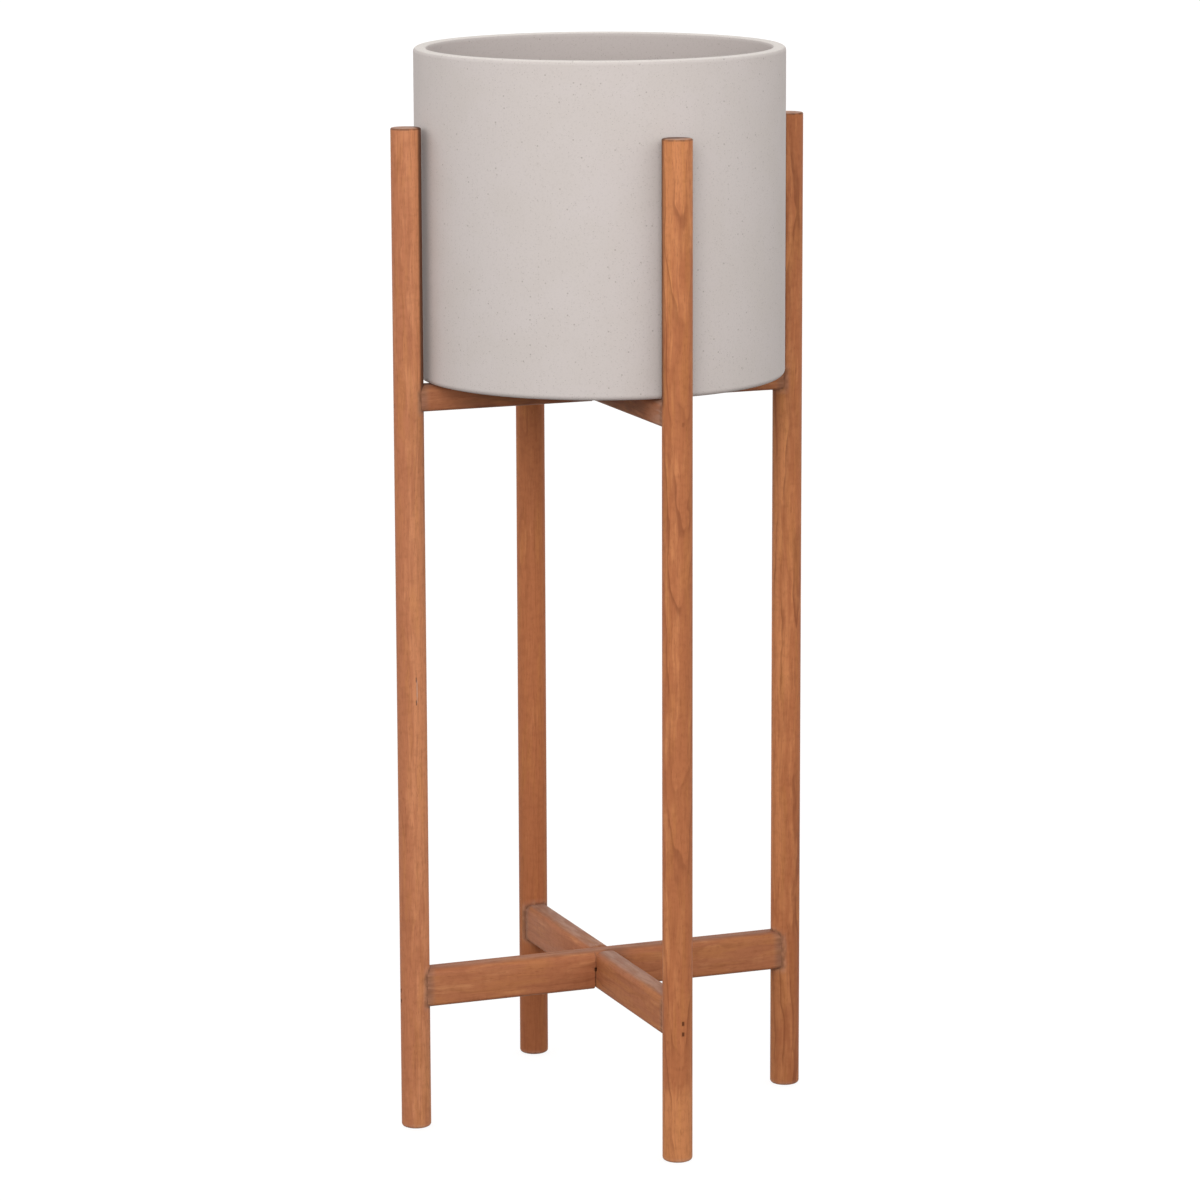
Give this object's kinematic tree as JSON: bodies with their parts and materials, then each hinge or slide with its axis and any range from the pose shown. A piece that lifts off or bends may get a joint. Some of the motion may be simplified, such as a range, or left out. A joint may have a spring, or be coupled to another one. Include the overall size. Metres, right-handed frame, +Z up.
{
  "type": "planter with stand",
  "caption": "Tall mid-century planter: a straight-sided cast clay pot standing on a cross of bars between slim round wooden legs, braced by a second cross near the floor.",
  "frame": {"origin": "on the floor, at the middle of the four feet and straight under the middle of the pot", "axes": "+Z up; the left and right legs stand on the X axis, the front and back legs on the Y axis, with the front leg at -Y"},
  "size_m": [0.365, 0.365, 0.908],
  "materials": {
    "stained_wood": "stained and oiled, satin",
    "cast_clay": "matt, finely speckled",
    "plug_rubber": "matt",
    "brad_steel": "bright wire"
  },
  "bodies": {
    "stand": {"left_leg": "stained_wood", "front_leg": "stained_wood", "right_leg": "stained_wood", "back_leg": "stained_wood", "lower_cross_bar_over": "stained_wood", "lower_cross_bar_under": "stained_wood", "upper_cross_bar_over": "stained_wood", "upper_cross_bar_under": "stained_wood", "left_leg_brads": "brad_steel", "front_leg_brads": "brad_steel", "right_leg_brads": "brad_steel", "back_leg_brads": "brad_steel"},
    "pot": {"pot": "cast_clay"},
    "drain_plug": {"drain_plug": "plug_rubber"}
  },
  "joints": [
    {"name": "pot_lift", "type": "slide", "parent": "stand", "child": "pot", "axis": [0, 0, 1], "range_m": [0, 0.24]},
    {"name": "plug_pull", "type": "slide", "parent": "pot", "child": "drain_plug", "axis": [0, 0, 1], "range_m": [0, 0.29]}
  ]
}
